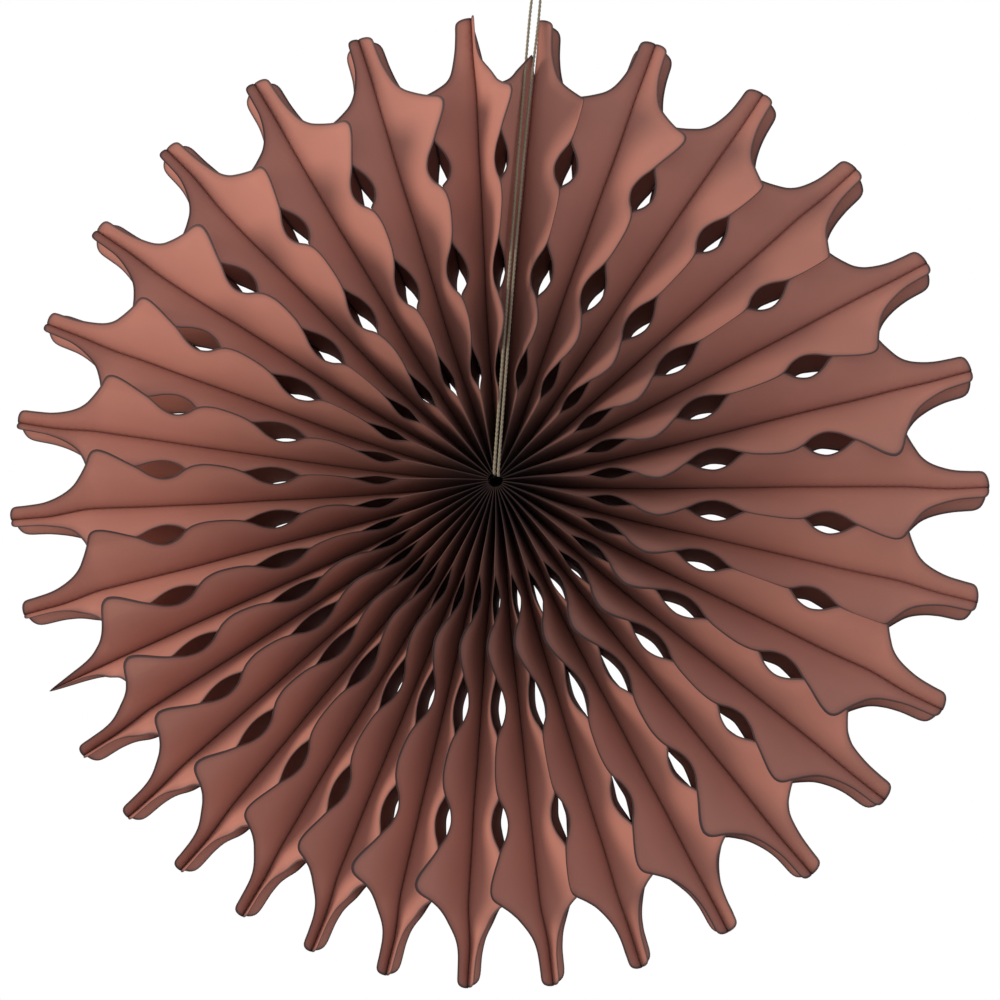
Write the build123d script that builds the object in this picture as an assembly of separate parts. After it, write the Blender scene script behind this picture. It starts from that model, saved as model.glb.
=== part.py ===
from build123d import *
import os
from math import cos, radians, sin, sqrt

# A hanging paper fan medallion, opened through a full circle.
#
# It is a honeycomb of tissue sheets. Every sheet is as long as the radius, is die-cut to the same outline and
# has one crease down its middle. Two sheets glued along that crease make a petal. Each sheet's front and rear
# edges are glued to the next petal's, which makes the ridges, with a loose wavy flap standing on them.
# The first and last sheets have no partner, and meet at the seam near the top. A cord ring threaded round the
# hub gathers the inner ends, and a cord comes out of the hub, lies in the seam and makes the hanging loop.
#
# Millimetres. X is to the viewer's right, Z is up and the front faces -Y. Sizes are given from the hub's centre,
# and the finished fan is set down so that the origin is where a hook bears in the hanging loop. Directions are
# in degrees clockwise from straight up, as the viewer sees the fan.

# Paper
paper = 0.2                     # modelled thickness of one sheet
glue_strip = 3.0                # width of the flat strip glued along a crease
rim_rise = 17.0                 # what the ridges still stand over the creases at the rim, in the widest cell

# Die-cut outline of a sheet, as radii from the hub's centre and widths from the crease
hub_edge_radius = 5.0           # inner end of the glued edge line
hub_crease_radius = 10.0        # inner end of the crease, cut back for the cord ring
scallop_radius = 288.0          # outer end of the glued edge line
scallop_reach = 35.0            # radial length of the scallop's curve
scallop_steps = [40.0, 75.0]    # places on the curve, as degrees round its quarter ellipse
tongue_width = 12.5             # half width of the tongue where the scallop ends
tip_width = 10.8                # half width of the tongue's square-cut end
rear_tongue_more = 4.5          # what the rear half of a tongue is wider than the front
rear_corner_drop = 4.5          # and how much nearer the hub its corners are
tongue_length = 54.0            # from the end of the glued edge line to the tongue's end
eye_places = [0.266, 0.526, 0.809]      # eyes' middles, as shares of the glued edge line from its inner end
eye_half_lengths = [13.5, 16.0, 16.5]
eye_depths = [16.0, 15.0, 12.0]         # how far an eye is cut in from the glued edge line

# Wavy flaps on the glued edge line, each between two eyes: share of the way along, and height
inner_flap = 11.0
middle_flap = 8.5
outer_flap_low = 7.0
outer_flap_high = 11.0
flap_points = [
    [(0.50, inner_flap)],
    [(0.35, middle_flap), (0.76, middle_flap)],
    [(0.45, outer_flap_low), (0.86, outer_flap_high)],
]
flap_lean = 42.0                # mean lean of the flaps, clockwise from standing straight out
flap_lean_swing = 16.0          # they lean more on one side of the fan
flap_lean_direction = 75.0

# How the sheets are opened round the hub
full_turn = 360
petals = 30
seam_direction = 4.9            # where the two end sheets meet
seam_gap = 8.1                  # from the last petal to the seam
open_wide_share = 0.245         # the cells are opened unevenly, widest towards this direction
open_wide_direction = 27.4
open_side_share = 0.022         # and a little wider again to both sides of the other axis
open_side_direction = 128.0

# Damage that the real fan shows
spike_petal = 21                # this petal's tongue is pinched to a sharp point
spike_width = 0.6
spike_root_width = 6.0
torn_length = 12.0              # what is left of the left end sheet's tongue
torn_width = 2.0

# Cord
cord = 2.2                      # diameter
ring_clearance = 0.2            # from the cord ring to the inner ends of the creases
strand_clearance = 0.3          # from a strand's end to the ring
strand_left = [(-0.6, -43.5, 3.2), (-0.6, -47.0, 7.0), (19.9, -13.6, 303.0), (25.6, -7.0, 372.0)]
strand_right = [(2.2, -43.5, 1.8), (2.2, -47.0, 5.6), (20.5, -17.0, 262.0), (33.4, -5.0, 372.0)]
hook = (Vector(*strand_left[-1]) + Vector(*strand_right[-1])) / 2 - Vector(0, 0, cord / 2)
bend_share = 0.45               # share of the shorter run that a bend takes up


def outward(direction):
    """Unit vector from the hub in one direction."""
    return Vector(sin(radians(direction)), 0, cos(radians(direction)))


def clockwise(direction):
    """Unit vector along the rim, clockwise, at one direction."""
    return Vector(cos(radians(direction)), 0, -sin(radians(direction)))


def petal_directions():
    """The seam, then each petal in turn, with the cells opened unevenly."""
    step = (full_turn - seam_gap) / petals
    shares = []
    for cell in range(petals):
        middle = seam_direction + (cell + 0.5) * step
        share = 1 + open_wide_share * cos(radians(middle - open_wide_direction))
        share += open_side_share * cos(2 * radians(middle - open_side_direction))
        shares.append(share)
    directions = [seam_direction]
    for share in shares:
        directions.append(directions[-1] + (full_turn - seam_gap) * share / sum(shares))
    return directions


directions = petal_directions()
cells = list(zip(directions, directions[1:] + [seam_direction + full_turn]))
edges = [(a + b) / 2 for a, b in cells]

# The sheets are all as wide as the widest cell needs: from the crease's strip to the glued edge line, laid flat
widest_wall = max((outward(b) - outward((a + b) / 2)).length for a, b in cells) * scallop_radius
half_width = sqrt(rim_rise**2 + widest_wall**2)
print("half width of a sheet", round(half_width, 2))

tip_radius = scallop_radius + tongue_length
eye_radii = [hub_edge_radius + place * (scallop_radius - hub_edge_radius) for place in eye_places]


class Half:
    """One half of a sheet, from its crease to its glued edge: front is -1 or 1, side is 1 when it is clockwise
    of its crease and -1 when it is the other way."""

    def __init__(self, crease, edge, front, side):
        self.crease = crease
        self.edge = edge
        self.front = Vector(0, front, 0)
        self.side = clockwise(crease) * side
        lean = flap_lean + flap_lean_swing * cos(radians(edge - flap_lean_direction))
        self.flap = clockwise(edge) * sin(radians(lean)) + self.front * cos(radians(lean))

    def crease_point(self, radius):
        return outward(self.crease) * radius + self.front * (glue_strip / 2)

    def edge_point(self, radius):
        """On the glued edge line, as far out from the crease as the flat sheet reaches."""
        flat = (outward(self.edge) - outward(self.crease)).length * radius
        rise = sqrt(half_width**2 - flat**2)
        return outward(self.edge) * radius + self.front * (glue_strip / 2 + rise)

    def across(self, radius):
        """From the crease to the edge line. Past the scallop the free tongue keeps the slope that it has there."""
        held = min(radius, scallop_radius)
        return self.edge_point(held) - self.crease_point(held)

    def face_point(self, radius, width):
        return self.crease_point(radius) + self.across(radius) * (width / half_width)

    def face_normal(self, radius):
        """Out of the cell that this half is a wall of."""
        normal = outward(self.crease).cross(self.across(radius)).normalized()
        return normal if normal.dot(self.side) < 0 else normal * -1

    def flap_normal(self):
        normal = outward(self.edge).cross(self.flap).normalized()
        return normal if normal.dot(self.side) < 0 else normal * -1


def outline(tip, tongue_root, end_radius, corner_radius):
    """The cut edge of one half sheet from the hub to the tip, as (kind, radius, width or height)."""
    points = [("face", hub_edge_radius, half_width)]
    for eye, radius in enumerate(eye_radii):
        length = eye_half_lengths[eye]
        points.append(("neck", radius - length, half_width))
        points.append(("eye", radius, half_width - eye_depths[eye]))
        points.append(("neck", radius + length, half_width))
        last = eye + 1 == len(eye_radii)
        stop = scallop_radius if last else eye_radii[eye + 1] - eye_half_lengths[eye + 1]
        start = radius + length
        for share, height in flap_points[eye]:
            points.append(("flap", start + share * (stop - start), height))
    points.append(("neck", scallop_radius, half_width))
    for angle in scallop_steps:
        out = scallop_reach * (1 - cos(radians(angle)))
        cut = (half_width - tongue_root) * sin(radians(angle))
        points.append(("face", min(scallop_radius + out, end_radius), half_width - cut))
    points.append(("face", corner_radius, tip))
    return points


def triangles_of_half(points):
    """Facets of a half sheet: each is three places, a place being an outline index or a crease station below 0.

    Crease station -1 is the inner end, then one lies under each eye, and the last is the tip.
    """
    facets = []
    station = -1
    body = [index for index, point in enumerate(points) if point[0] != "flap"]
    for here, after in zip(body, body[1:]):
        if points[after][0] == "eye":
            facets.append((here, station, station - 1))
            station -= 1
        facets.append((here, after, station))
        for flap in range(here + 1, after):
            facets.append((here, flap, flap + 1))
    facets.append((body[-1], station, station - 1))
    return facets


def sheet(crease, edge, side, tip=tip_width, root=tongue_width, end_radius=tip_radius, rear_share=1):
    """One creased sheet: its facets on both faces of the paper, closed along the cut edge."""
    rear_more = rear_tongue_more * rear_share
    rear_corner = end_radius - rear_corner_drop * rear_share
    outlines = {
        -1: outline(tip, root, end_radius, end_radius),
        1: outline(tip + rear_more, root + rear_more, end_radius, rear_corner),
    }
    stations = [hub_crease_radius] + eye_radii + [end_radius]
    facets = triangles_of_half(outlines[1])
    outer = {}
    inner = {}
    for front in (-1, 1):
        half = Half(crease, edge, front, side)
        for number, radius in enumerate(stations):
            place = (front, -1 - number)
            outer[place] = half.crease_point(radius)
            inner[place] = outer[place] + half.side * paper
        for number, (kind, radius, width) in enumerate(outlines[front]):
            place = (front, number)
            normal = half.face_normal(radius)
            if kind == "flap":
                inner[place] = half.edge_point(radius) + half.flap * width
                normal = half.flap_normal()
            else:
                inner[place] = half.face_point(radius, width)
            if kind == "neck":
                middle = (normal + half.flap_normal()).normalized()
                normal = middle * (1 / middle.dot(normal))
            outer[place] = inner[place] + normal * paper
    skin = []
    for front in (-1, 1):
        skin += [[(front, place) for place in facet] for facet in facets]
    for number in range(len(stations) - 1):
        a, b = -1 - number, -2 - number
        skin.append([(-1, a), (1, a), (1, b)])
        skin.append([(-1, a), (1, b), (-1, b)])
    edge_places = range(len(outlines[1]))
    rim = [(-1, number) for number in edge_places] + [(-1, -len(stations)), (1, -len(stations))]
    rim += [(1, number) for number in reversed(edge_places)] + [(1, -1), (-1, -1)]
    corners = [[skin_side[place] for place in facet] for facet in skin for skin_side in (outer, inner)]
    for here, after in zip(rim, rim[1:] + rim[:1]):
        corners.append([outer[here], outer[after], inner[after]])
        corners.append([outer[here], inner[after], inner[here]])
    faces = [Face(Wire.make_polygon(three, close=True)) for three in corners]
    return Solid(Shell(faces))


def cord_tube(points):
    """A tube along straight runs joined by bends, each as large as its runs allow."""
    places = [Vector(*point) for point in points]
    runs = [b - a for a, b in zip(places, places[1:])]
    radii = []
    for before, after in zip(runs, runs[1:]):
        half_turn = radians(before.get_angle(after) / 2)
        radii.append(bend_share * min(before.length, after.length) * cos(half_turn) / sin(half_turn))
    print("cord bend radii", [round(radius, 1) for radius in radii])
    path = FilletPolyline(*places, radius=radii)
    section = Plane(origin=path @ 0, z_dir=path % 0) * Circle(cord / 2)
    tube = sweep(section, path=path)
    print("cord volume over section times length", round(tube.volume / (section.area * path.length), 4))
    return tube


def save(shape, name):
    export_step(shape.moved(Location(hook * -1)), f"parts/{name}.step")


os.makedirs("parts", exist_ok=True)

save(sheet(seam_direction, edges[0], 1), "right_end_sheet")
for number in range(1, petals + 1):
    shape = {}
    if number == spike_petal:
        shape = {"tip": spike_width, "root": spike_root_width, "rear_share": 0}
    left = sheet(directions[number], edges[number - 1], -1, **shape)
    right = sheet(directions[number], edges[number], 1, **shape)
    save(Compound([left, right]), f"petal_{number:02d}")
torn_radius = scallop_radius + torn_length
torn = sheet(seam_direction, edges[-1], -1, tip=torn_width, end_radius=torn_radius, rear_share=0)
save(torn, "left_end_sheet")

ring_radius = hub_crease_radius - ring_clearance - cord / 2
save(Torus(ring_radius, cord / 2).rotate(Axis.X, 90), "hub_cord_ring")

inner_ends = []
for strand in (strand_left, strand_right):
    x = strand[0][0]
    inner_ends.append((x, -cord / 2 - strand_clearance, sqrt(ring_radius**2 - x**2)))
route = [inner_ends[0]] + strand_left + strand_right[::-1] + [inner_ends[1]]
save(cord_tube(route), "hanging_cord")
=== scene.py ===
import bpy
import random
from math import atan2, cos, hypot, pi, radians, sin
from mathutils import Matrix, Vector, geometry


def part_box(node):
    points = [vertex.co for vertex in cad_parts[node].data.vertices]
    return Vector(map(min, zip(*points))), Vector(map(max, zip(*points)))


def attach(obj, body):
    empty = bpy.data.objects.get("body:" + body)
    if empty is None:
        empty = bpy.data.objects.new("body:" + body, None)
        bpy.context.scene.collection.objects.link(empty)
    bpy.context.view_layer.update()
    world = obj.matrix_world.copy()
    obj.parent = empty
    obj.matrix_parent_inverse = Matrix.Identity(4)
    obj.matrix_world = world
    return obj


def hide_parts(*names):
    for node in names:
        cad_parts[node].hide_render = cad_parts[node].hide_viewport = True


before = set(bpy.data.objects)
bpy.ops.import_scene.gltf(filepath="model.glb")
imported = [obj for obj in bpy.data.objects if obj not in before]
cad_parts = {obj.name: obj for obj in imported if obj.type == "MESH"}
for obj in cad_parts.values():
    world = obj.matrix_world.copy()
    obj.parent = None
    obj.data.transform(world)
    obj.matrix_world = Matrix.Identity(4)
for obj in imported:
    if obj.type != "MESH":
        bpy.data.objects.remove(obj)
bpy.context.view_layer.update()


# Place in the room: the fan hangs from its loop, and is looked at from a little below and to its right.
# The camera is set to the photograph: 27 inches of fan across 970 of its 1000 pixels. The floor is far below,
# and behind the fan there is nothing but white.
hub_low, hub_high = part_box("hub_cord_ring")
hub = (hub_low + hub_high) / 2
camera_distance = 1.50
camera_azimuth = radians(3.0)
camera_elevation = radians(-7.3)
photo_pixels = 1000
photo_pixel = 0.0007072          # one pixel of the photograph at the hub, in metres
hub_pixel = (498.5, 487.8)       # the hub's middle in the photograph
sensor_width = 36.0
camera_near, camera_far = 0.05, 60

back = Vector((sin(camera_azimuth) * cos(camera_elevation),
               -cos(camera_azimuth) * cos(camera_elevation),
               sin(camera_elevation)))
turned = back.to_track_quat("Z", "Y")
right = turned @ Vector((1, 0, 0))
up = turned @ Vector((0, 1, 0))
photo_middle = hub + right * (photo_pixels / 2 - hub_pixel[0]) * photo_pixel
photo_middle = photo_middle - up * (photo_pixels / 2 - hub_pixel[1]) * photo_pixel
camera_data = bpy.data.cameras.new("photo_camera")
camera_data.sensor_width = sensor_width
camera_data.lens = sensor_width * camera_distance / (photo_pixels * photo_pixel)
camera_data.clip_start = camera_near
camera_data.clip_end = camera_far
camera = bpy.data.objects.new("photo_camera", camera_data)
camera.location = photo_middle + back * camera_distance
camera.rotation_mode = "QUATERNION"
camera.rotation_quaternion = turned
bpy.context.scene.collection.objects.link(camera)
bpy.context.scene.camera = camera


# Light: one warm lamp from the left, a little in front and hardly above, and colder light from the room all
# round. The room is seen as plain white, whatever it lights with.
key_size = 1.2
key_distance = 2.6
key_azimuth = radians(-66)
key_elevation = radians(5)
key_power = 46.5
key_colour = (1.0, 0.86, 0.77)
fill_level = 0.70
fill_colour = (0.84, 0.87, 0.95, 1.0)


def white_for_the_eye(nodes, links, strength, colour, lit_level, lit_colour):
    """What the camera, gloss and glass see as plain white, and that lights at its own level and colour."""
    path = nodes.new("ShaderNodeLightPath")
    seen = nodes.new("ShaderNodeMath")
    seen.operation = "MAXIMUM"
    links.new(path.outputs["Is Camera Ray"], seen.inputs[0])
    links.new(path.outputs["Is Glossy Ray"], seen.inputs[1])
    through = nodes.new("ShaderNodeMath")
    through.operation = "MAXIMUM"
    links.new(seen.outputs[0], through.inputs[0])
    links.new(path.outputs["Is Transmission Ray"], through.inputs[1])
    level = nodes.new("ShaderNodeMix")
    level.data_type = "FLOAT"
    level.inputs[2].default_value = lit_level
    level.inputs[3].default_value = 1.0
    links.new(through.outputs[0], level.inputs[0])
    links.new(level.outputs[0], strength)
    tint = nodes.new("ShaderNodeMix")
    tint.data_type = "RGBA"
    tint.inputs[6].default_value = lit_colour
    tint.inputs[7].default_value = (1.0, 1.0, 1.0, 1.0)
    links.new(through.outputs[0], tint.inputs[0])
    links.new(tint.outputs[2], colour)


world = bpy.data.worlds.new("studio_white")
world.use_nodes = True
bpy.context.scene.world = world
background = world.node_tree.nodes["Background"]
white_for_the_eye(world.node_tree.nodes, world.node_tree.links, background.inputs["Strength"],
                  background.inputs["Color"], fill_level, fill_colour)

key_data = bpy.data.lights.new("window_side", "AREA")
key_data.shape = "DISK"
key_data.size = key_size
key_data.energy = key_power
key_data.color = key_colour
key = bpy.data.objects.new("window_side", key_data)
key_back = Vector((sin(key_azimuth) * cos(key_elevation),
                   -cos(key_azimuth) * cos(key_elevation),
                   sin(key_elevation)))
key.location = hub + key_back * key_distance
key.rotation_mode = "QUATERNION"
key.rotation_quaternion = key_back.to_track_quat("Z", "Y")
bpy.context.scene.collection.objects.link(key)

floor_drop = 1.9                 # from the hook to the floor
floor_half = 3.0
floor_colour, floor_roughness = (0.80, 0.80, 0.79, 1), 0.8
floor_mesh = bpy.data.meshes.new("pale_floor")
floor_mesh.from_pydata(
    [(x * floor_half, y * floor_half, -floor_drop) for x, y in ((-1, -1), (1, -1), (1, 1), (-1, 1))],
    [], [(0, 1, 2, 3)])
pale = bpy.data.materials.new("pale_floor_paint")
pale.use_nodes = True
pale_paint = pale.node_tree.nodes["Principled BSDF"]
pale_paint.inputs["Base Color"].default_value = floor_colour
pale_paint.inputs["Roughness"].default_value = floor_roughness
floor_mesh.materials.append(pale)
floor = bpy.data.objects.new("pale_floor", floor_mesh)
bpy.context.scene.collection.objects.link(floor)

bpy.context.scene.view_settings.view_transform = "Standard"


# Hanging cord: one pale cotton cord of two twisted plies. Its two strands come out of the hub, lie side by side
# in the fan's seam and make the loop for the hook. It is threaded through the sheets and tied to nothing else.
strand_left = [(-0.6, -43.5, 3.2), (-0.6, -47.0, 7.0), (19.9, -13.6, 303.0), (25.6, -7.0, 372.0)]
strand_right = [(2.2, -43.5, 1.8), (2.2, -47.0, 5.6), (20.5, -17.0, 262.0), (33.4, -5.0, 372.0)]
inner_left = (-0.6, -1.4, 8.7)
inner_right = (2.2, -1.4, 8.4)
cord_route = [inner_left] + strand_left + strand_right[::-1] + [inner_right]
ply_radius = 0.00072
ply_offset = 0.00038             # from the cord's middle to a ply's
ply_pitch = 0.0066               # length of one turn of the plies
ply_step = 0.0011
ply_sides = 8
route_steps, route_order = 24, 3 # points between two places of the route, and how smoothly it passes them
cotton_dark, cotton_light = (0.21, 0.175, 0.115, 1), (0.33, 0.28, 0.195, 1)
cotton_roughness, cotton_gloss = 0.9, 0.2
lint_scale, lint_detail = 900.0, 3.0
lint_strength, lint_height = 0.4, 0.0002

cord_cotton = bpy.data.materials.new("pale_cotton_cord")
cord_cotton.use_nodes = True
cord_nodes, cord_links = cord_cotton.node_tree.nodes, cord_cotton.node_tree.links
cotton = cord_nodes["Principled BSDF"]
cotton.inputs["Roughness"].default_value = cotton_roughness
cotton.inputs["Specular IOR Level"].default_value = cotton_gloss
cotton_place = cord_nodes.new("ShaderNodeTexCoord")
cotton_lint = cord_nodes.new("ShaderNodeTexNoise")
cotton_lint.inputs["Scale"].default_value = lint_scale
cotton_lint.inputs["Detail"].default_value = lint_detail
cotton_shade = cord_nodes.new("ShaderNodeMix")
cotton_shade.data_type = "RGBA"
cotton_shade.inputs[6].default_value = cotton_dark
cotton_shade.inputs[7].default_value = cotton_light
cotton_relief = cord_nodes.new("ShaderNodeBump")
cotton_relief.inputs["Strength"].default_value = lint_strength
cotton_relief.inputs["Distance"].default_value = lint_height
cord_links.new(cotton_place.outputs["Object"], cotton_lint.inputs["Vector"])
cord_links.new(cotton_lint.outputs["Fac"], cotton_shade.inputs[0])
cord_links.new(cotton_shade.outputs[2], cotton.inputs["Base Color"])
cord_links.new(cotton_lint.outputs["Fac"], cotton_relief.inputs["Height"])
cord_links.new(cotton_relief.outputs[0], cotton.inputs["Normal"])


def even_line(points, step):
    """Points one step apart along a line of points."""
    line = [points[0]]
    left = step
    for a, b in zip(points, points[1:]):
        run = (b - a).length
        while left <= run:
            line.append(a.lerp(b, left / run))
            left += step
        left -= run
    return line


def twisted_cord(name, line, pitch):
    """Two plies laid round an even line of points, as one mesh."""
    side = Vector((0, 1, 0))
    travelled = 0.0
    rings = []
    for number, point in enumerate(line):
        along = (line[min(number + 1, len(line) - 1)] - line[max(number - 1, 0)]).normalized()
        side = (side - along * side.dot(along)).normalized()
        other = along.cross(side)
        for ply in (0, 1):
            turn = 2 * pi * travelled / pitch + pi * ply
            middle = point + (side * cos(turn) + other * sin(turn)) * ply_offset
            rings.append([
                middle + (side * cos(2 * pi * n / ply_sides) + other * sin(2 * pi * n / ply_sides)) * ply_radius
                for n in range(ply_sides)])
        travelled += ply_step
    faces = []
    for number in range(len(rings) - 2):
        here, after = number * ply_sides, (number + 2) * ply_sides
        for n in range(ply_sides):
            beside = (n + 1) % ply_sides
            faces.append((here + n, here + beside, after + beside, after + n))
    for ply in (0, 1):
        last = (len(rings) - 2 + ply) * ply_sides
        faces.append(tuple(ply * ply_sides + n for n in reversed(range(ply_sides))))
        faces.append(tuple(last + n for n in range(ply_sides)))
    mesh = bpy.data.meshes.new(name)
    mesh.from_pydata([corner for ring in rings for corner in ring], [], faces)
    mesh.shade_smooth()
    mesh.materials.append(cord_cotton)
    made = bpy.data.objects.new(name, mesh)
    bpy.context.scene.collection.objects.link(made)
    return made


route_data = bpy.data.curves.new("cord_route", "CURVE")
route_data.dimensions = "3D"
route_data.resolution_u = route_steps
route_line = route_data.splines.new("NURBS")
route_line.points.add(len(cord_route) - 1)
for point, place in zip(route_line.points, cord_route):
    point.co = (*(hub + Vector(place) / 1000), 1)
route_line.order_u = route_order
route_line.use_endpoint_u = True
route = bpy.data.objects.new("cord_route", route_data)
bpy.context.scene.collection.objects.link(route)
route_mesh = bpy.data.meshes.new_from_object(route.evaluated_get(bpy.context.evaluated_depsgraph_get()))
cord_line = even_line([v.co.copy() for v in route_mesh.vertices], ply_step)
bpy.data.objects.remove(route)
cord = twisted_cord("hanging_cord_twisted", cord_line, ply_pitch)
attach(cord, "root")
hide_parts("hanging_cord")


# Hub cord: one turn of the same cord, threaded through a hole in every sheet and pulled tight, which gathers the
# inner ends. Its two tails leave it at the front and go up as the hanging cord.
ring_radius = 0.0087
ring_turns = 9
ring_corners = 360
ring_line = even_line(
    [hub + Vector((sin(2 * pi * n / ring_corners), 0, cos(2 * pi * n / ring_corners))) * ring_radius
     for n in range(ring_corners + 1)], ply_step)
hub_ring = twisted_cord("hub_cord_twisted", ring_line + [ring_line[0]], 2 * pi * ring_radius / ring_turns)
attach(hub_ring, "root")
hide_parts("hub_cord_ring")


# Flat pattern: every sheet of tissue is die-cut flat, right through the stack. The glue line runs along each half
# at one distance from the crease. The front half's cut edge waves in and out over it: what lies outside it
# stands up as a flap, and what is cut in becomes half an eye. The rear half's eyes are shallower, its tongue is
# wider, and it ends at the glue line, without flaps.
paper = 0.0002
glue_strip = 0.003
half_width = 0.040               # from the glue strip's edge to the ridge's glue line
hub_front = 0.010                # inner end of the front half's crease
hub_rear = 0.0005                # the rear half closes the hub behind the cord
scallop = 0.288                  # outer end of the glue line
# Cut edge of a half sheet from the hub outwards: distance from the hub, and distance from the crease, in mm.
# The curve passes through them all, and they are where an eye or a flap begins, ends or is deepest.
wave_cut = [
    (5, 40), (34, 40.2), (58, 41), (64.5, 40), (69, 36), (74.5, 29.5), (80.5, 25.5), (86.5, 29.5), (92, 36),
    (96.5, 40), (103, 46), (114, 50), (124, 47), (131.5, 42), (136, 38), (144.5, 28.5), (153.7, 24.5),
    (162.5, 28.5), (171, 38), (181, 45), (198, 48.5), (209, 45.5), (216.5, 39.5), (224.3, 32), (233, 29),
    (241.3, 32), (249.3, 39), (257, 44.5), (265, 50.5), (271, 54.3), (276.5, 55.8), (281, 53.5), (284, 48.5),
]
rear_eye_share, rear_eye_less = 0.75, 3.2         # a rear eye's depth: this share of the front one's, less this
near_ridge = 1                           # within this of the ridge, in mm, the rear is cut as the front is
front_tongue = [(286.5, 42), (289.5, 36), (293.5, 29.5), (298, 23.5), (304, 19), (312.5, 15.7), (322, 13.6),
                (333, 12.7), (340.2, 12.2), (342.9, 9.8), (344.3, 5.5), (344.6, 0)]
rear_tongue = [(286.5, 42), (289.5, 37), (293.5, 31.5), (298, 26.5), (304, 22.5), (312.5, 19.2), (322, 17.4),
               (330, 17), (337, 16.6), (341, 14.6), (343.6, 9), (344.6, 0)]
pinched_tongue = [(286.5, 42), (289.5, 34.5), (293.5, 26.5), (298, 20), (304, 15), (312.5, 11.2), (324, 7.8),
                  (335, 4.5), (342, 2), (344.6, 0)]
bent_tongue = [(286.5, 42), (289.5, 36), (293.5, 29.5), (298, 23), (304, 17), (312.5, 12), (324, 8), (335, 4.5),
               (341, 2), (342.5, 0)]
torn_tongue = [(286.5, 42), (289.5, 36), (293.5, 29.5), (298, 23.5), (304, 19), (310, 15.5), (315, 10),
               (311, 6), (307, 4.5), (303, 1.5), (299, 0)]
cut_spacing = 0.0024
cut_rows = [0.00045, 0.0011, 0.0026, 0.0055]                                # rows of points along the cut edge
fold_rows = [0.0008, 0.0022, 0.005, 0.009, 0.014, 0.020, 0.026, 0.032, 0.0365]        # and along the crease
ridge_rows = [-0.0015, 0, 0.0015]                                           # and along the glue line
row_spacing = 0.006
fold_stations = 56
clear_share = 0.93               # how far off the edge a row's point has to be, against the row's depth
least_clear, most_clear = 0.0006, 0.0068
fill_inside, one_place = 1, 1e-6         # mesh the outline's inside, with nearer points than this as one


def smooth_line(points, spacing):
    """Points about this far apart on a smooth curve that passes through the given ones."""
    ends = [2 * points[0] - points[1]] + points + [2 * points[-1] - points[-2]]
    line = [points[0]]
    for before, start, stop, after in zip(ends, ends[1:], ends[2:], ends[3:]):
        run = (stop - start).length
        leave = (stop - before) * run / (run + (start - before).length)
        arrive = (after - start) * run / (run + (after - stop).length)
        steps = max(1, round(run / spacing))
        for step in range(1, steps + 1):
            t = step / steps
            line.append(start * (2 * t**3 - 3 * t**2 + 1) + leave * (t**3 - 2 * t**2 + t)
                        + stop * (3 * t**2 - 2 * t**3) + arrive * (t**3 - t**2))
    return line


def line_distance(place, line):
    """How far a place is from a line of points, at its nearest."""
    nearest = 1.0
    for a, b in zip(line, line[1:]):
        along = b - a
        share = max(0.0, min(1.0, (place - a).dot(along) / along.length_squared))
        nearest = min(nearest, (place - a - along * share).length)
    return nearest


def inside(place, loop):
    """Whether a place is inside a closed loop of points."""
    crossings = 0
    for a, b in zip(loop, loop[1:] + loop[:1]):
        if (a.y > place.y) != (b.y > place.y):
            crossings += place.x < a.x + (place.y - a.y) * (b.x - a.x) / (b.y - a.y)
    return crossings % 2 == 1


def half_pattern(cut, start):
    """Half a sheet, flat: X is the distance from the hub and Y from the sheet's middle. Places, faces, cuts."""
    metres = [Vector(point) / 1000 + Vector((0, glue_strip / 2)) for point in cut]
    edge = [Vector((start, 0)), Vector((start, glue_strip / 2))]
    edge += smooth_line([edge[1], metres[0]], cut_spacing)[1:]
    edge += smooth_line(metres, cut_spacing)[1:]
    end = edge[-1].x
    edge.append(Vector((end, 0)))
    stations = [hub_front + (end - hub_front) * n / fold_stations for n in range(1, fold_stations)]
    if start < hub_front:
        stations = [(start + hub_front) / 2, hub_front] + stations
    loop = edge + [Vector((x, 0)) for x in reversed(stations)]
    places = list(loop)
    lines = [(n, (n + 1) % len(loop)) for n in range(len(loop))]
    crease = [1] + [len(places) + n for n in range(len(stations))] + [len(edge) - 2]
    places += [Vector((x, glue_strip / 2)) for x in stations]
    lines += list(zip(crease, crease[1:]))
    for before, here, after in zip(edge[1:], edge[2:], edge[3:-1]):
        inward = Vector(((after - before).y, -(after - before).x)).normalized()
        for depth in cut_rows:
            place = here + inward * depth
            if (place.y > glue_strip / 2 and line_distance(place, edge) > clear_share * depth
                    and inside(place, loop)):
                places.append(place)
    for number, across in enumerate(fold_rows):
        for n in range(fold_stations + 2):
            place = Vector((hub_front + row_spacing * (n + number % 2 / 2), across + glue_strip / 2))
            clear = min(most_clear, least_clear + across / 2)
            if inside(place, loop) and line_distance(place, edge[2:-2]) > clear:
                places.append(place)
    for n in range(int((scallop - hub_front) / row_spacing * 2)):
        place = Vector((hub_front + row_spacing / 2 * n, half_width + glue_strip / 2))
        if inside(place, loop) and line_distance(place, edge) > least_clear:
            places += [place + Vector((0, row)) for row in ridge_rows]
    flat, _, faces, *_ = geometry.delaunay_2d_cdt(places, lines, [], fill_inside, one_place)
    return flat, faces, [line_distance(place, edge) for place in flat]


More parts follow.
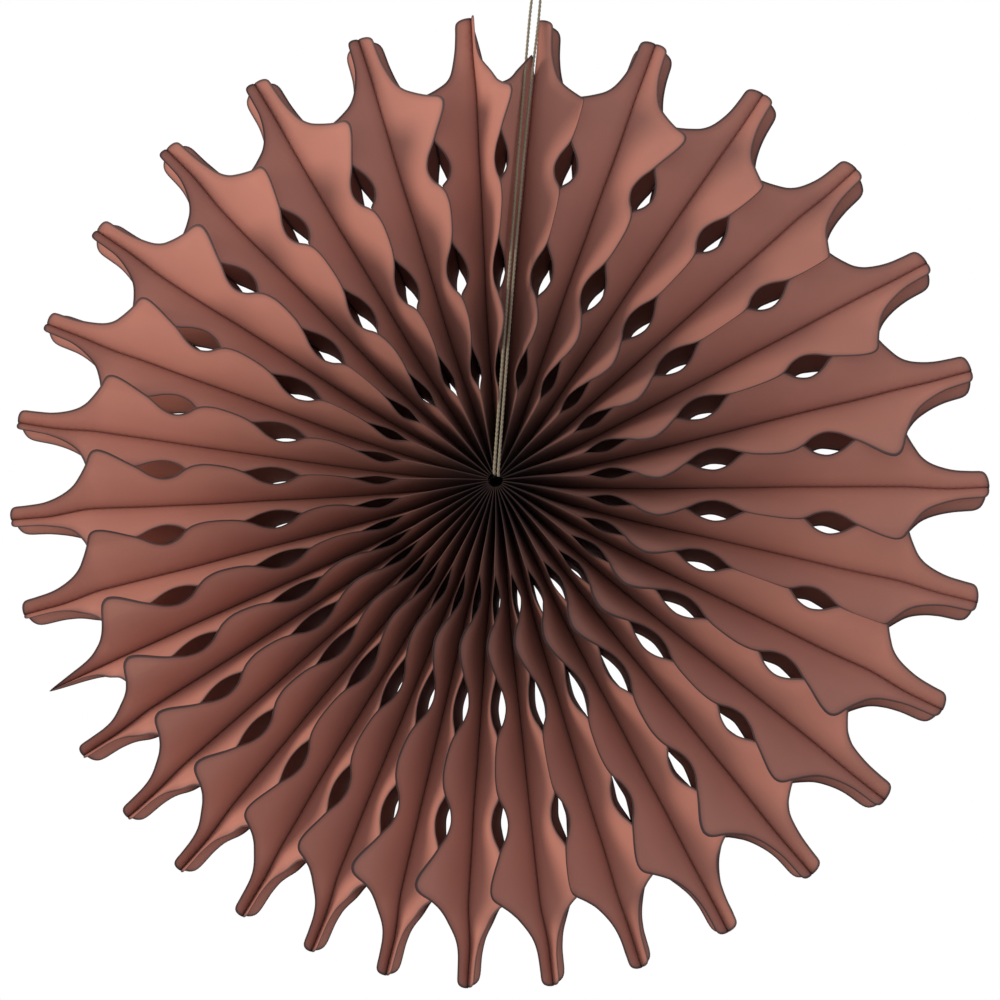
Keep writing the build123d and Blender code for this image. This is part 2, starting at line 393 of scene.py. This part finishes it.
def sheet_pattern(name, front_cut, rear_cut):
    """A whole sheet, flat: the front half is below 0 in Y and the rear half above."""
    places, faces, cuts = [], [], []
    for facing, cut, start in ((1, rear_cut, hub_rear), (-1, front_cut, hub_front)):
        half, half_faces, half_cuts = half_pattern(cut, start)
        faces += [[len(places) + corner for corner in face[::facing]] for face in half_faces]
        places += [(place.x, place.y * facing, 0) for place in half]
        cuts += half_cuts
    mesh = bpy.data.meshes.new(name)
    mesh.from_pydata(places, [], faces)
    mesh.attributes.new("cut", "FLOAT", "POINT").data.foreach_set("value", cuts)
    mesh.attributes.new("fold", "FLOAT", "POINT").data.foreach_set(
        "value", [abs(abs(y) - glue_strip / 2) for x, y, z in places])
    return mesh


def rear_across(across):
    """Where the rear half is cut, in mm from the crease, when the front half is cut at this distance."""
    ridge = half_width * 1000
    if across > ridge - near_ridge:
        return min(across, ridge)
    return ridge - max(0, (ridge - across) * rear_eye_share - rear_eye_less)


rear_wave = [(hub_rear * 1000, half_width * 1000)]
rear_wave += [(radius, rear_across(across)) for radius, across in wave_cut[1:]]


# Opening: the stack of sheets is fanned round the hub until its two ends meet. Each half sheet then runs straight
# out from the hub along its crease and along its ridge, and a front flap beyond the ridge leans over clockwise.
# One tree of nodes opens the flat pattern of a sheet to its two directions, and gives the paper its thickness.
rim_leans = [5, 44, 18, 10, 31, 73, 28, 3, 47, 34, 51, 23, 3, 20, 47, 47, 23, 20, 47, 47, 60, 55, 23, 34, 26, 26,
             47, 23, 34, 47, 31]         # each outer flap's own, in degrees, clockwise from the seam
middle_share = 0.5                       # the lean between the middle and outer eyes, against the rim's
hub_lean, hub_lean_swing, hub_lean_direction = radians(30), radians(28), radians(105)
lean_spread = radians(8)                 # and no two of the inner flaps lean quite alike
hub_lean_to, middle_from, middle_to, rim_lean_from = 0.12, 0.165, 0.215, 0.255
bow, bow_swing, bow_direction = 0.0015, 0.0037, radians(80)
bow_radius, bow_reach = 0.092, 0.055     # round the inner eyes the ridges are pushed over clockwise
# A tongue's arms are free: they turn together round the crease, and close up from the face's slope. In front they
# do it as one on the right side and the other way on the left; behind, they do it more evenly.
front_twist, front_twist_swing, front_twist_direction = radians(-14.6), radians(40), radians(88.5)
front_twist_least, front_twist_most = radians(-7), radians(15)
front_close = radians(9)                 # where the twist is least
rear_twist, rear_twist_swing = radians(4), radians(5)
rear_close, rear_close_swing = radians(6), radians(-7)
rear_direction = radians(20)
twist_from, twist_to = 0.294, 0.326
root_slope = radians(47)                 # a tongue's root opens at least to here, from the crease's own line
root_from, root_to = 0.290, 0.306        # it begins to between these radii, and ends between those
root_end_from, root_end_to = 0.294, 0.316
root_clear, root_open = 0.010, 0.018     # and only this far from the crease
# How far each tongue's end has swayed clockwise, in millimetres, from the right end sheet's on.
tongue_sways = [0, 0, 1, 2, 1, 1, 2, 2.5, 2.5, 0.5, 0, 0, -2, -3, -3.5, -3, -2.5, -2.5, -2, -2, -3, -0.5, -3.5,
                -4.5, -2.5, 1.5, 2, 2, 0.5, 0, -1.5]
sway_from, sway_to = 0.285, 0.322
# The rear scallops at these ridges, counted from the seam, end farther out than the rest or less far.
rear_reaches = {2: 0.0015, 3: 0.0015, 4: 0.002, 5: 0.0025, 6: 0.0025, 7: 0.003, 8: 0.0035, 9: 0.0035, 10: 0.003,
                16: -0.001, 17: -0.002, 18: -0.003, 19: -0.003, 20: -0.002, 21: -0.001}
rear_out_from, rear_out_to, rear_in_from, rear_in_to = 0.258, 0.286, 0.304, 0.330
tip_reach, tip_from, tip_to = 0.0026, radians(240), radians(270)       # the left side's tongues end farther out
tip_begins, tip_ends = 0.300, 0.340
mate_reach = 1.05                        # the flap underneath shows a little beyond the one on top
sag, sag_direction = 0.0026, radians(225)         # the paper hangs a little below its cord, and to the left
sag_from, sag_to, sag_radius = 0.02, 0.12, 0.25
flap_curl = 0.008                        # length over which a leaning face bends into its flap
crease_curl = 0.0030                     # the tissue springs back a little at the crease
crease_sink = 0.4                        # share of the paper by which glued creases are pressed together
unevenness = 0.0032                      # how far hanging and handling have pushed the paper about
unevenness_scale, unevenness_detail = 11.0, 1.0
bow_rise = 1.5                           # the power by which a bow grows from the crease to the ridge
weld = 0.00001                           # points nearer than this become one


class Nodes:
    """Adds nodes to a tree and links them, one line each."""

    def __init__(self, tree):
        self.tree = tree

    def add(self, kind, **settings):
        node = self.tree.nodes.new(kind)
        for key, value in settings.items():
            setattr(node, key, value)
        return node

    def put(self, value, socket):
        if isinstance(value, bpy.types.NodeSocket):
            self.tree.links.new(value, socket)
        else:
            socket.default_value = value

    def fill(self, node, *values):
        for value, socket in zip(values, node.inputs):
            self.put(value, socket)
        return node.outputs[0]

    def math(self, operation, *values):
        return self.fill(self.add("ShaderNodeMath", operation=operation), *values)

    def ramp(self, value, start, stop, at_start, at_stop):
        node = self.add("ShaderNodeMapRange", interpolation_type="SMOOTHSTEP")
        return self.fill(node, value, start, stop, at_start, at_stop)

    def xyz(self, x, y, z):
        return self.fill(self.add("ShaderNodeCombineXYZ"), x, y, z)

    def parts(self, vector):
        node = self.add("ShaderNodeSeparateXYZ")
        self.put(vector, node.inputs[0])
        return node.outputs

    def vector(self, operation, *values):
        return self.fill(self.add("ShaderNodeVectorMath", operation=operation), *values)

    def scaled(self, vector, share):
        node = self.add("ShaderNodeVectorMath", operation="SCALE")
        self.put(share, node.inputs["Scale"])
        self.put(vector, node.inputs[0])
        return node.outputs[0]

    def either(self, which, first, second):
        node = self.add("ShaderNodeMix", data_type="FLOAT")
        self.put(which, node.inputs[0])
        self.put(first, node.inputs[2])
        self.put(second, node.inputs[3])
        return node.outputs[0]

    def total(self, *values):
        so_far = values[0]
        for value in values[1:]:
            so_far = self.vector("ADD", so_far, value)
        return so_far


def new_tree(name, inputs):
    """An empty tree with a geometry in and out, and number inputs with these defaults."""
    tree = bpy.data.node_groups.new(name, "GeometryNodeTree")
    tree.interface.new_socket("Geometry", in_out="INPUT", socket_type="NodeSocketGeometry")
    for label, default in inputs.items():
        socket = tree.interface.new_socket(label, in_out="INPUT", socket_type="NodeSocketFloat")
        socket.default_value = default
    tree.interface.new_socket("Geometry", in_out="OUTPUT", socket_type="NodeSocketGeometry")
    return tree, tree.nodes.new("NodeGroupInput").outputs, tree.nodes.new("NodeGroupOutput").inputs[0]


# What a sheet has from its own ridge, and what it has from its petal
ridge_inputs = {"Ridge": 0.1, "Rim Lean": 0.5, "Middle Lean": 0.3, "Hub Lean": hub_lean, "Bow": bow,
                "Flap Reach": 1.0, "Rear Reach": 0.0}
petal_inputs = {"Crease": 0.0, "Front Twist": 0.0, "Rear Twist": 0.0, "Front Close": 0.0, "Rear Close": 0.0,
                "Sway": 0.0, "Tip Reach": 0.0, "Half Width": half_width, "Glue Strip": glue_strip,
                "Scallop": scallop, "Flap Curl": flap_curl, "Crease Curl": crease_curl, "Paper": paper,
                "Unevenness": unevenness}

sheet_tree, given, result = new_tree("opened_sheet", petal_inputs | ridge_inputs)
n = Nodes(sheet_tree)
flat_radius, flat_across, _ = n.parts(n.add("GeometryNodeInputPosition").outputs[0])
rear = n.math("GREATER_THAN", flat_across, 0.0)
standing = n.math("MULTIPLY", n.ramp(flat_radius, rear_out_from, rear_out_to, 0.0, given["Rear Reach"]),
                  n.ramp(flat_radius, rear_in_from, rear_in_to, rear, 0.0))
radius = n.math("ADD", n.math("ADD", flat_radius, standing),
                n.ramp(flat_radius, tip_begins, tip_ends, 0.0, given["Tip Reach"]))
facing = n.math("MULTIPLY_ADD", rear, 2.0, -1.0)
across = n.math("SUBTRACT", n.math("ABSOLUTE", flat_across), n.math("MULTIPLY", given["Glue Strip"], 0.5))
width = given["Half Width"]
cell = n.math("SUBTRACT", given["Ridge"], given["Crease"])
side = n.math("SIGN", cell)
half_angle = n.math("ABSOLUTE", cell)
on_face = n.math("MINIMUM", n.math("MAXIMUM", across, 0.0), width)
face_share = n.math("DIVIDE", on_face, width)
past_ridge = n.math("SUBTRACT", across, width)
on_flap = n.math("MULTIPLY", n.math("MAXIMUM", past_ridge, 0.0), given["Flap Reach"])
on_strip = n.math("MINIMUM", across, 0.0)

# Slope of the face, with X out from the hub, Y clockwise and Z away from the fan's middle plane
held = n.math("MINIMUM", radius, given["Scallop"])
chord = n.math("MULTIPLY", n.math("MULTIPLY", n.math("SINE", n.math("MULTIPLY", half_angle, 0.5)), 2.0), held)
rise = n.math("SQRT", n.math("SUBTRACT", n.math("POWER", width, 2.0), n.math("POWER", chord, 2.0)))
out_share = n.math("MULTIPLY", held, n.math("SUBTRACT", 1.0, n.math("COSINE", half_angle)))
turn_share = n.math("MULTIPLY", held, n.math("SINE", half_angle))
clockwise_slope = n.scaled(n.xyz(out_share, turn_share, rise), n.math("DIVIDE", 1.0, width))
slope_out, slope_turn, slope_up = n.parts(clockwise_slope)
steepness = n.math("ARCTAN2", slope_turn, slope_up)
slope_length = n.math("SQRT", n.math("ADD", n.math("POWER", slope_turn, 2.0), n.math("POWER", slope_up, 2.0)))
at_root = n.math("MULTIPLY", n.ramp(radius, root_from, root_to, 0.0, 1.0),
                 n.ramp(radius, root_end_from, root_end_to, 1.0, 0.0))
at_root = n.math("MULTIPLY", at_root, n.ramp(across, root_clear, root_open, 0.0, 1.0))
to_open = n.math("MAXIMUM", n.math("SUBTRACT", root_slope, steepness), 0.0)
twist = n.either(rear, given["Front Twist"], given["Rear Twist"])
twisting = n.math("MULTIPLY", twist, n.math("MULTIPLY", facing, side))
turning = n.math("SUBTRACT", twisting, n.either(rear, given["Front Close"], given["Rear Close"]))
angle = n.math("ADD", steepness, n.math("MULTIPLY", to_open, at_root))
angle = n.math("ADD", angle, n.math("MULTIPLY", turning, n.ramp(radius, twist_from, twist_to, 0.0, 1.0)))
slope = n.xyz(slope_out, n.math("MULTIPLY", n.math("MULTIPLY", n.math("SINE", angle), slope_length), side),
              n.math("MULTIPLY", n.math("COSINE", angle), slope_length))

# From the crease to the ridge, and on into the flap
lean = n.ramp(radius, hub_lean_to, middle_from, given["Hub Lean"], given["Middle Lean"])
lean = n.ramp(radius, middle_to, rim_lean_from, lean, given["Rim Lean"])
flap = n.xyz(0.0, n.math("SINE", lean), n.math("COSINE", lean))
beside = n.math("MULTIPLY", n.math("SINE", half_angle), radius)
inset = n.math("MULTIPLY", n.math("MULTIPLY", given["Paper"], crease_sink), n.math("SUBTRACT", 1.0, face_share))
crease_point = n.xyz(
    n.math("MULTIPLY", n.math("COSINE", half_angle), radius),
    n.math("MULTIPLY", side, n.math("SUBTRACT", inset, beside)),
    n.math("MULTIPLY_ADD", given["Glue Strip"], 0.5, on_strip))
fading = n.math("EXPONENT", n.math("DIVIDE", on_face, n.math("MULTIPLY", given["Crease Curl"], -1.0)))
spring = n.scaled(n.vector("SUBTRACT", n.xyz(0.0, 0.0, 1.0), slope), n.math("MULTIPLY", on_face, fading))
curl = given["Flap Curl"]
rounded = n.math("SQRT", n.math("ADD", n.math("POWER", past_ridge, 2.0), n.math("POWER", curl, 2.0)))
rounding = n.math("MULTIPLY", n.math("SUBTRACT", rounded, n.math("ABSOLUTE", past_ridge)), 0.5)
kept = n.math("MULTIPLY", n.math("MULTIPLY", curl, 0.5), n.math("POWER", face_share, 2.0))
leaning = n.math("MAXIMUM", n.math("GREATER_THAN", side, 0.0), n.math("GREATER_THAN", past_ridge, 0.0))
bend = n.math("MULTIPLY", n.math("SUBTRACT", rounding, kept), leaning)
bent = n.scaled(n.vector("SUBTRACT", flap, clockwise_slope), bend)
from_middle = n.math("DIVIDE", n.math("SUBTRACT", radius, bow_radius), bow_reach)
bowing = n.math("EXPONENT", n.math("MULTIPLY", n.math("POWER", from_middle, 2.0), -1.0))
bowed = n.math("MULTIPLY", n.math("MULTIPLY", given["Bow"], bowing), n.math("POWER", face_share, bow_rise))
swayed = n.ramp(flat_radius, sway_from, sway_to, 0.0, given["Sway"])
local = n.total(crease_point, n.scaled(slope, on_face), n.scaled(flap, on_flap), spring, bent,
                n.xyz(0.0, n.math("ADD", bowed, swayed), 0.0))

# Set into the fan, pushed about a little, and given its thickness on the side that looks out of its cell
local_out, local_turn, local_up = n.parts(local)
ridge_sine, ridge_cosine = n.math("SINE", given["Ridge"]), n.math("COSINE", given["Ridge"])
opened = n.total(
    n.scaled(n.xyz(ridge_sine, 0.0, ridge_cosine), local_out),
    n.scaled(n.xyz(ridge_cosine, 0.0, n.math("MULTIPLY", ridge_sine, -1.0)), local_turn),
    n.scaled(n.xyz(0.0, facing, 0.0), local_up))
noise = n.add("ShaderNodeTexNoise", noise_dimensions="3D")
n.put(opened, noise.inputs["Vector"])
n.put(unevenness_scale, noise.inputs["Scale"])
n.put(unevenness_detail, noise.inputs["Detail"])
push = n.math("MULTIPLY", given["Unevenness"], n.math("DIVIDE", radius, given["Scallop"]))
pushed = n.scaled(n.vector("SUBTRACT", noise.outputs["Color"], n.xyz(0.5, 0.5, 0.5)), push)
moved = n.add("GeometryNodeSetPosition")
n.put(given["Geometry"], moved.inputs["Geometry"])
hanging = n.scaled(n.xyz(sag * sin(sag_direction), 0.0, sag * cos(sag_direction)),
                   n.ramp(radius, sag_from, sag_to, 0.0, 1.0))
n.put(n.total(opened, pushed, hanging, n.xyz(*hub)), moved.inputs["Position"])
flipped = n.add("GeometryNodeFlipFaces")
n.put(moved.outputs[0], flipped.inputs["Mesh"])
n.put(n.math("LESS_THAN", side, 0.0), flipped.inputs["Selection"])
folded = n.add("GeometryNodeMergeByDistance")
n.put(flipped.outputs[0], folded.inputs["Geometry"])
n.put(weld, folded.inputs["Distance"])
raised = n.add("GeometryNodeExtrudeMesh", mode="FACES")
n.put(folded.outputs[0], raised.inputs["Mesh"])
n.put(given["Paper"], raised.inputs["Offset Scale"])
raised.inputs["Individual"].default_value = False
under = n.add("GeometryNodeFlipFaces")
n.put(folded.outputs[0], under.inputs["Mesh"])
shell = n.add("GeometryNodeJoinGeometry")
n.put(raised.outputs["Mesh"], shell.inputs[0])
n.put(under.outputs[0], shell.inputs[0])
closed = n.add("GeometryNodeMergeByDistance")
n.put(shell.outputs[0], closed.inputs["Geometry"])
n.put(weld, closed.inputs["Distance"])
n.put(closed.outputs[0], result)


# Tissue: thin brown paper, dyed right through, matt, with the faint cloud of its fibres. Painted shade darkens
# the cut edges to dark grey and the creases to a deeper red-brown. Round the hub the sheets' inner ends are
# packed close together, and painted shade makes them almost black.
tissue_brown = (0.480, 0.204, 0.150, 1)
tissue_cloud = (0.420, 0.183, 0.138, 1)
# Painted shade colours, laid over the brown: in the creases, along the cut edges and round the hub.
crease_shade_colour = (0.13, 0.030, 0.024, 1)
edge_shade_colour = (0.045, 0.042, 0.045, 1)
hub_shade_colour = (0.012, 0.010, 0.011, 1)
hub_shade, hub_shade_from, hub_shade_to = 0.72, 0.012, 0.080        # share of the painted hub shade, between these radii
hub_faint_shade, hub_faint_shade_from, hub_faint_shade_to = 0.45, 0.040, 0.260           # and more faintly as far as here
hub_ridge_shade, hub_ridge_shade_from, hub_ridge_shade_to = 0.62, 0.015, 0.070     # and more painted shade, near the hub, away from the crease
ends_from, ends_to = 0.014, 0.040
crease_shade_share, crease_shade_from, crease_shade_to = 0.55, 0.0003, 0.0036         # share of the painted crease shade, fading away from the crease
crease_shade_faint_share, crease_shade_faint_to = 0.22, 0.012                            # and faintly as far as here
rim_shade_share, rim_to = 0.28, 0.0065                                 # the painted edge shade, faintly, as far as here
cut_shade_share, cut_from, cut_to = 0.82, 0.0006, 0.0022               # and nearly in full at the edge itself
edged_least, edged_from, edged_to = 0.10, 0.045, 0.085           # with less of both near the hub
cloud_scale, cloud_detail, cloud_roughness = 26.0, 5.0, 0.62
fibre_scale, fibre_detail = 420.0, 4.0
fibre_strength, fibre_height = 0.12, 0.0006
tissue_roughness, tissue_gloss = 0.85, 0.15
tissue = bpy.data.materials.new("brown_tissue")
tissue.use_nodes = True
n = Nodes(tissue.node_tree)
surface = tissue.node_tree.nodes["Principled BSDF"]
surface.inputs["Roughness"].default_value = tissue_roughness
surface.inputs["Specular IOR Level"].default_value = tissue_gloss


def painted(n, under, over, share):
    """One colour laid over another, as much as the share says."""
    mix = n.add("ShaderNodeMix", data_type="RGBA")
    n.put(share, mix.inputs[0])
    n.put(under, mix.inputs[6])
    n.put(over, mix.inputs[7])
    return mix.outputs[2]


def away_from(n, attribute):
    """How far this place on the sheet is from its cut edge or its crease."""
    return n.add("ShaderNodeAttribute", attribute_name=attribute).outputs["Fac"]


where = n.add("ShaderNodeTexCoord").outputs["Object"]
clouds = n.add("ShaderNodeTexNoise")
n.put(where, clouds.inputs["Vector"])
n.put(cloud_scale, clouds.inputs["Scale"])
n.put(cloud_detail, clouds.inputs["Detail"])
n.put(cloud_roughness, clouds.inputs["Roughness"])
colour = painted(n, tissue_brown, tissue_cloud, clouds.outputs["Fac"])
# Painted shade in the creases: strong along the fold, and faint a little farther out.
colour = painted(n, colour, crease_shade_colour,
                 n.ramp(away_from(n, "fold"), crease_shade_from, crease_shade_to, crease_shade_share, 0.0))
colour = painted(n, colour, crease_shade_colour, n.ramp(away_from(n, "fold"), 0.0, crease_shade_faint_to, crease_shade_faint_share, 0.0))
flattened = n.vector("MULTIPLY", n.vector("SUBTRACT", where, tuple(hub)), (1.0, 0.0, 1.0))
from_hub = n.add("ShaderNodeVectorMath", operation="LENGTH")
n.put(flattened, from_hub.inputs[0])
from_hub = from_hub.outputs["Value"]
edged = n.ramp(from_hub, edged_from, edged_to, edged_least, 1.0)
# Painted shade along the cut edges: faint in a band beside them, and nearly full dark grey at the edge itself,
# with less of both near the hub.
colour = painted(n, colour, edge_shade_colour,
                 n.ramp(away_from(n, "cut"), 0.0, rim_to, n.math("MULTIPLY", edged, rim_shade_share), 0.0))
colour = painted(n, colour, edge_shade_colour,
                 n.ramp(away_from(n, "cut"), cut_from, cut_to, n.math("MULTIPLY", edged, cut_shade_share), 0.0))
# Painted shade round the hub: strong close in, faint out to the middle eyes, and more of it near the hub away
# from the creases.
colour = painted(n, colour, hub_shade_colour, n.ramp(from_hub, hub_shade_from, hub_shade_to, hub_shade, 0.0))
colour = painted(n, colour, hub_shade_colour, n.ramp(from_hub, hub_faint_shade_from, hub_faint_shade_to, hub_faint_shade, 0.0))
ends = n.ramp(away_from(n, "fold"), ends_from, ends_to, 0.0, 1.0)
colour = painted(n, colour, hub_shade_colour,
                 n.math("MULTIPLY", ends, n.ramp(from_hub, hub_ridge_shade_from, hub_ridge_shade_to, hub_ridge_shade, 0.0)))
n.put(colour, surface.inputs["Base Color"])
fibres = n.add("ShaderNodeTexNoise")
n.put(where, fibres.inputs["Vector"])
n.put(fibre_scale, fibres.inputs["Scale"])
n.put(fibre_detail, fibres.inputs["Detail"])
creased = n.add("ShaderNodeBump")
n.put(fibre_strength, creased.inputs["Strength"])
n.put(fibre_height, creased.inputs["Distance"])
n.put(fibres.outputs["Fac"], creased.inputs["Height"])
n.put(creased.outputs[0], surface.inputs["Normal"])


# Petals: two sheets glued back to back along the crease. Each petal's place is read from its own node.
lean_seed = 5
near_plane, end_depth = 1e-4, 0.001      # what counts as the middle plane, and as a crease's end
sharp_from = radians(50)                 # the paper's own edges are sharp, and its curves are smooth
chance = random.Random(lean_seed)


def crease_direction(node):
    """Where a node's crease points, clockwise from straight up: its end is its farthest place near the middle."""
    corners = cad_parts[node].data.vertices
    spots = [v.co - hub for v in corners if abs(v.co.y - hub.y) < glue_strip / 2 + near_plane]
    far = max(hypot(p.x, p.z) for p in spots)
    ends = [p for p in spots if hypot(p.x, p.z) > far - end_depth]
    middle = sum(ends, Vector()) / len(ends)
    return atan2(middle.x, middle.z) % (2 * pi)


dropped_petals, dropped = (21, 22), radians(-1.1)        # two petals hang lower than the rest of the left side
petal_nodes = sorted(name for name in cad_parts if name.startswith("petal_"))
creases = [crease_direction("right_end_sheet")] + [crease_direction(name) for name in petal_nodes]
for number in dropped_petals:
    creases[number] += dropped
creases = [crease - sag * sin(sag_direction - crease) / sag_radius for crease in creases]
creases.append(creases[0] + 2 * pi)
ridges = []
for number, (before, after, rim_lean) in enumerate(zip(creases, creases[1:], rim_leans)):
    ridge = (before + after) / 2
    own_lean = chance.uniform(-1, 1) * lean_spread
    ridges.append({
        "Ridge": ridge,
        "Rim Lean": radians(rim_lean),
        "Middle Lean": radians(rim_lean) * middle_share,
        "Hub Lean": hub_lean + hub_lean_swing * cos(ridge - hub_lean_direction) + own_lean,
        "Bow": bow + bow_swing * cos(ridge - bow_direction),
        "Rear Reach": rear_reaches.get(number, 0.0),
    })


def opening_tree(name, sides):
    """The tree of a petal or an end sheet: one opened sheet for each ridge that it reaches, in this material."""
    own = dict(petal_inputs)
    for side in sides:
        own |= {label + " " + side: value for label, value in ridge_inputs.items()}
    tree, given, result = new_tree(name, own)
    n = Nodes(tree)
    joined = n.add("GeometryNodeJoinGeometry")
    for side in sides:
        sheet = n.add("GeometryNodeGroup", node_tree=sheet_tree)
        for socket in sheet.inputs:
            n.put(given[socket.name + " " + side if socket.name in ridge_inputs else socket.name], socket)
        n.put(sheet.outputs[0], joined.inputs[0])
    real = n.add("GeometryNodeRealizeInstances")
    n.put(joined.outputs[0], real.inputs[0])
    smooth = n.add("GeometryNodeSetShadeSmooth")
    n.put(real.outputs[0], smooth.inputs["Geometry"])
    papered = n.add("GeometryNodeSetMaterial")
    n.put(smooth.outputs[0], papered.inputs["Geometry"])
    papered.inputs["Material"].default_value = tissue
    n.put(papered.outputs[0], result)
    return tree


folded_over = {"tissue_petal_30": radians(19)}           # the twist of a tongue that is folded over at the seam


def opened_piece(name, pattern, tree, crease, sway, before=None, after=None):
    """A plain mesh of the pattern, opened by the tree between a crease and the ridges beside it."""
    twist = front_twist + front_twist_swing * cos(crease - front_twist_direction)
    twist = folded_over.get(name, max(front_twist_least, min(front_twist_most, twist)))
    closing = max(0.0, (front_twist_most - twist) / (front_twist_most - front_twist_least))
    even = cos(crease - rear_direction)
    tip_share = max(0, min(1, (crease - tip_from) / (tip_to - tip_from)))
    values = {"Crease": crease, "Front Twist": twist, "Front Close": front_close * closing,
              "Rear Twist": rear_twist + rear_twist_swing * even,
              "Rear Close": rear_close + rear_close_swing * even,
              "Sway": sway / 1000, "Tip Reach": tip_reach * tip_share}
    for side, ridge, reach in (("Before", before, mate_reach), ("After", after, 1.0)):
        if ridge:
            values |= {label + " " + side: value for label, value in ridge.items()}
            values["Flap Reach " + side] = reach
    flat = bpy.data.objects.new(name + "_flat", pattern)
    bpy.context.scene.collection.objects.link(flat)
    modifier = flat.modifiers.new("opened", "NODES")
    modifier.node_group = tree
    for item in tree.interface.items_tree:
        if item.in_out == "INPUT" and item.name in values:
            modifier[item.identifier] = values[item.name]
    evaluated = flat.evaluated_get(bpy.context.evaluated_depsgraph_get())
    mesh = bpy.data.meshes.new_from_object(evaluated)
    mesh.name = name
    bpy.data.objects.remove(flat)
    mesh.set_sharp_from_angle(angle=sharp_from)
    piece = bpy.data.objects.new(name, mesh)
    bpy.context.scene.collection.objects.link(piece)
    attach(piece, "root")
    return piece


whole_sheet = sheet_pattern("sheet_flat", wave_cut + front_tongue, rear_wave + rear_tongue)
pinched_sheet = sheet_pattern("sheet_flat_pinched", wave_cut + pinched_tongue, rear_wave + pinched_tongue)
bent_sheet = sheet_pattern("sheet_flat_bent", wave_cut + front_tongue, rear_wave + bent_tongue)
patterns = {"petal_21": pinched_sheet, "petal_30": bent_sheet}
petal_tree = opening_tree("petal", ("Before", "After"))
for number, node in enumerate(petal_nodes, 1):
    petal = opened_piece("tissue_" + node, patterns.get(node, whole_sheet),
                         petal_tree, creases[number], tongue_sways[number],
                         before=ridges[number - 1], after=ridges[number])
    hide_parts(node)


# End sheets: the first and last sheets of the stack have no partner, and hang free at the seam either side of
# the cord. The left one's tongue has been torn off.
right_tree = opening_tree("right_end_sheet", ("After",))
right_end = opened_piece("tissue_right_end_sheet", whole_sheet,
                         right_tree, creases[0], tongue_sways[0], after=ridges[0])
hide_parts("right_end_sheet")
left_tree = opening_tree("left_end_sheet", ("Before",))
torn_sheet = sheet_pattern("sheet_flat_torn", wave_cut + torn_tongue, rear_wave + torn_tongue)
left_end = opened_piece("tissue_left_end_sheet", torn_sheet,
                        left_tree, creases[-1], 0, before=ridges[-1])
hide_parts("left_end_sheet")
